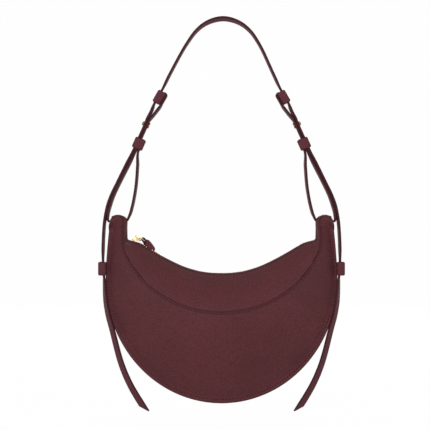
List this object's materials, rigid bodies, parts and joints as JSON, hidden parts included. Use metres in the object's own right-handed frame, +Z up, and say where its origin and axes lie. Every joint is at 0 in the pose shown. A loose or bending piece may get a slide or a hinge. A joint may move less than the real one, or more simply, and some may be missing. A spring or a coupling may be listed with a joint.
{
  "type": "half moon shoulder bag",
  "caption": "Half moon leather shoulder bag with crescent panels, a curved top zip, horn tunnels, and a narrow studded strap that runs through keepers into loose tails.",
  "frame": {"origin": "underside of the strap at the top of its arch, where a shoulder or a hook carries the bag", "axes": "+Z up, +X to the right seen from the front, -Y to the front of the bag"},
  "size_m": [0.2696, 0.072, 0.431],
  "materials": {
    "panel_leather": "smooth burgundy leather with a fine grain",
    "strap_leather": "burgundy leather with painted edges",
    "gold_metal": "polished pale gold plate",
    "lining_cloth": "plain woven cotton",
    "zip_tape_cloth": "woven zip tape"
  },
  "bodies": {
    "strap": {"shoulder_strap": "strap_leather", "left_hanger": "strap_leather", "left_upper_keeper": "strap_leather", "left_stud": "gold_metal", "left_stud_screw": "gold_metal", "right_hanger": "strap_leather", "right_upper_keeper": "strap_leather", "right_stud": "gold_metal", "right_stud_screw": "gold_metal"},
    "bag": {"front_crescent_panel": "panel_leather", "back_crescent_panel": "panel_leather", "front_top_panel": "panel_leather", "back_top_panel": "panel_leather", "front_lining": "lining_cloth", "back_lining": "lining_cloth", "inner_pocket": "lining_cloth", "zip_tape_front": "zip_tape_cloth", "zip_tape_back": "zip_tape_cloth", "zip_teeth_front": "gold_metal", "zip_teeth_back": "gold_metal", "zip_stops": "gold_metal", "left_side_keeper": "strap_leather", "right_side_keeper": "strap_leather", "left_strap_run": "strap_leather", "right_strap_run": "strap_leather"},
    "zip_slider": {"zip_slider": "gold_metal"},
    "zip_puller": {"zip_puller": "gold_metal"},
    "zip_pull_tab": {"zip_pull_tab": "strap_leather"},
    "left_tail": {"left_tail": "strap_leather"},
    "right_tail": {"right_tail": "strap_leather"},
    "left_lower_keeper": {"left_lower_keeper": "strap_leather"},
    "right_lower_keeper": {"right_lower_keeper": "strap_leather"}
  },
  "joints": [
    {"name": "bag_swing", "type": "hinge", "parent": "strap", "child": "bag", "pos_m": [0, 0, -0.2235], "axis": [1, 0, 0], "range_deg": [-30, 30]},
    {"name": "zip_slide", "type": "hinge", "parent": "bag", "child": "zip_slider", "pos_m": [0, 0, -0.1424], "axis": [0, -1, 0], "range_deg": [0, 72]},
    {"name": "puller_lift", "type": "hinge", "parent": "zip_slider", "child": "zip_puller", "pos_m": [-0.09004, 0, -0.23811], "axis": [0, -1, 0], "range_deg": [0, 75]},
    {"name": "pull_tab_swing", "type": "hinge", "parent": "zip_puller", "child": "zip_pull_tab", "pos_m": [-0.0849, 0, -0.24035], "axis": [0, -1, 0], "range_deg": [0, 50]},
    {"name": "left_tail_swing", "type": "hinge", "parent": "bag", "child": "left_tail", "pos_m": [-0.13031, 0, -0.2825], "axis": [0, 1, 0], "range_deg": [0, 40]},
    {"name": "left_keeper_slide", "type": "slide", "parent": "strap", "child": "left_lower_keeper", "axis": [0.4067, 0, 0.9135], "range_m": [0, 0.006]},
    {"name": "right_tail_swing", "type": "hinge", "parent": "bag", "child": "right_tail", "pos_m": [0.13031, 0, -0.2825], "axis": [0, -1, 0], "range_deg": [0, 40]},
    {"name": "right_keeper_slide", "type": "slide", "parent": "strap", "child": "right_lower_keeper", "axis": [-0.4067, 0, 0.9135], "range_m": [0, 0.006]}
  ]
}
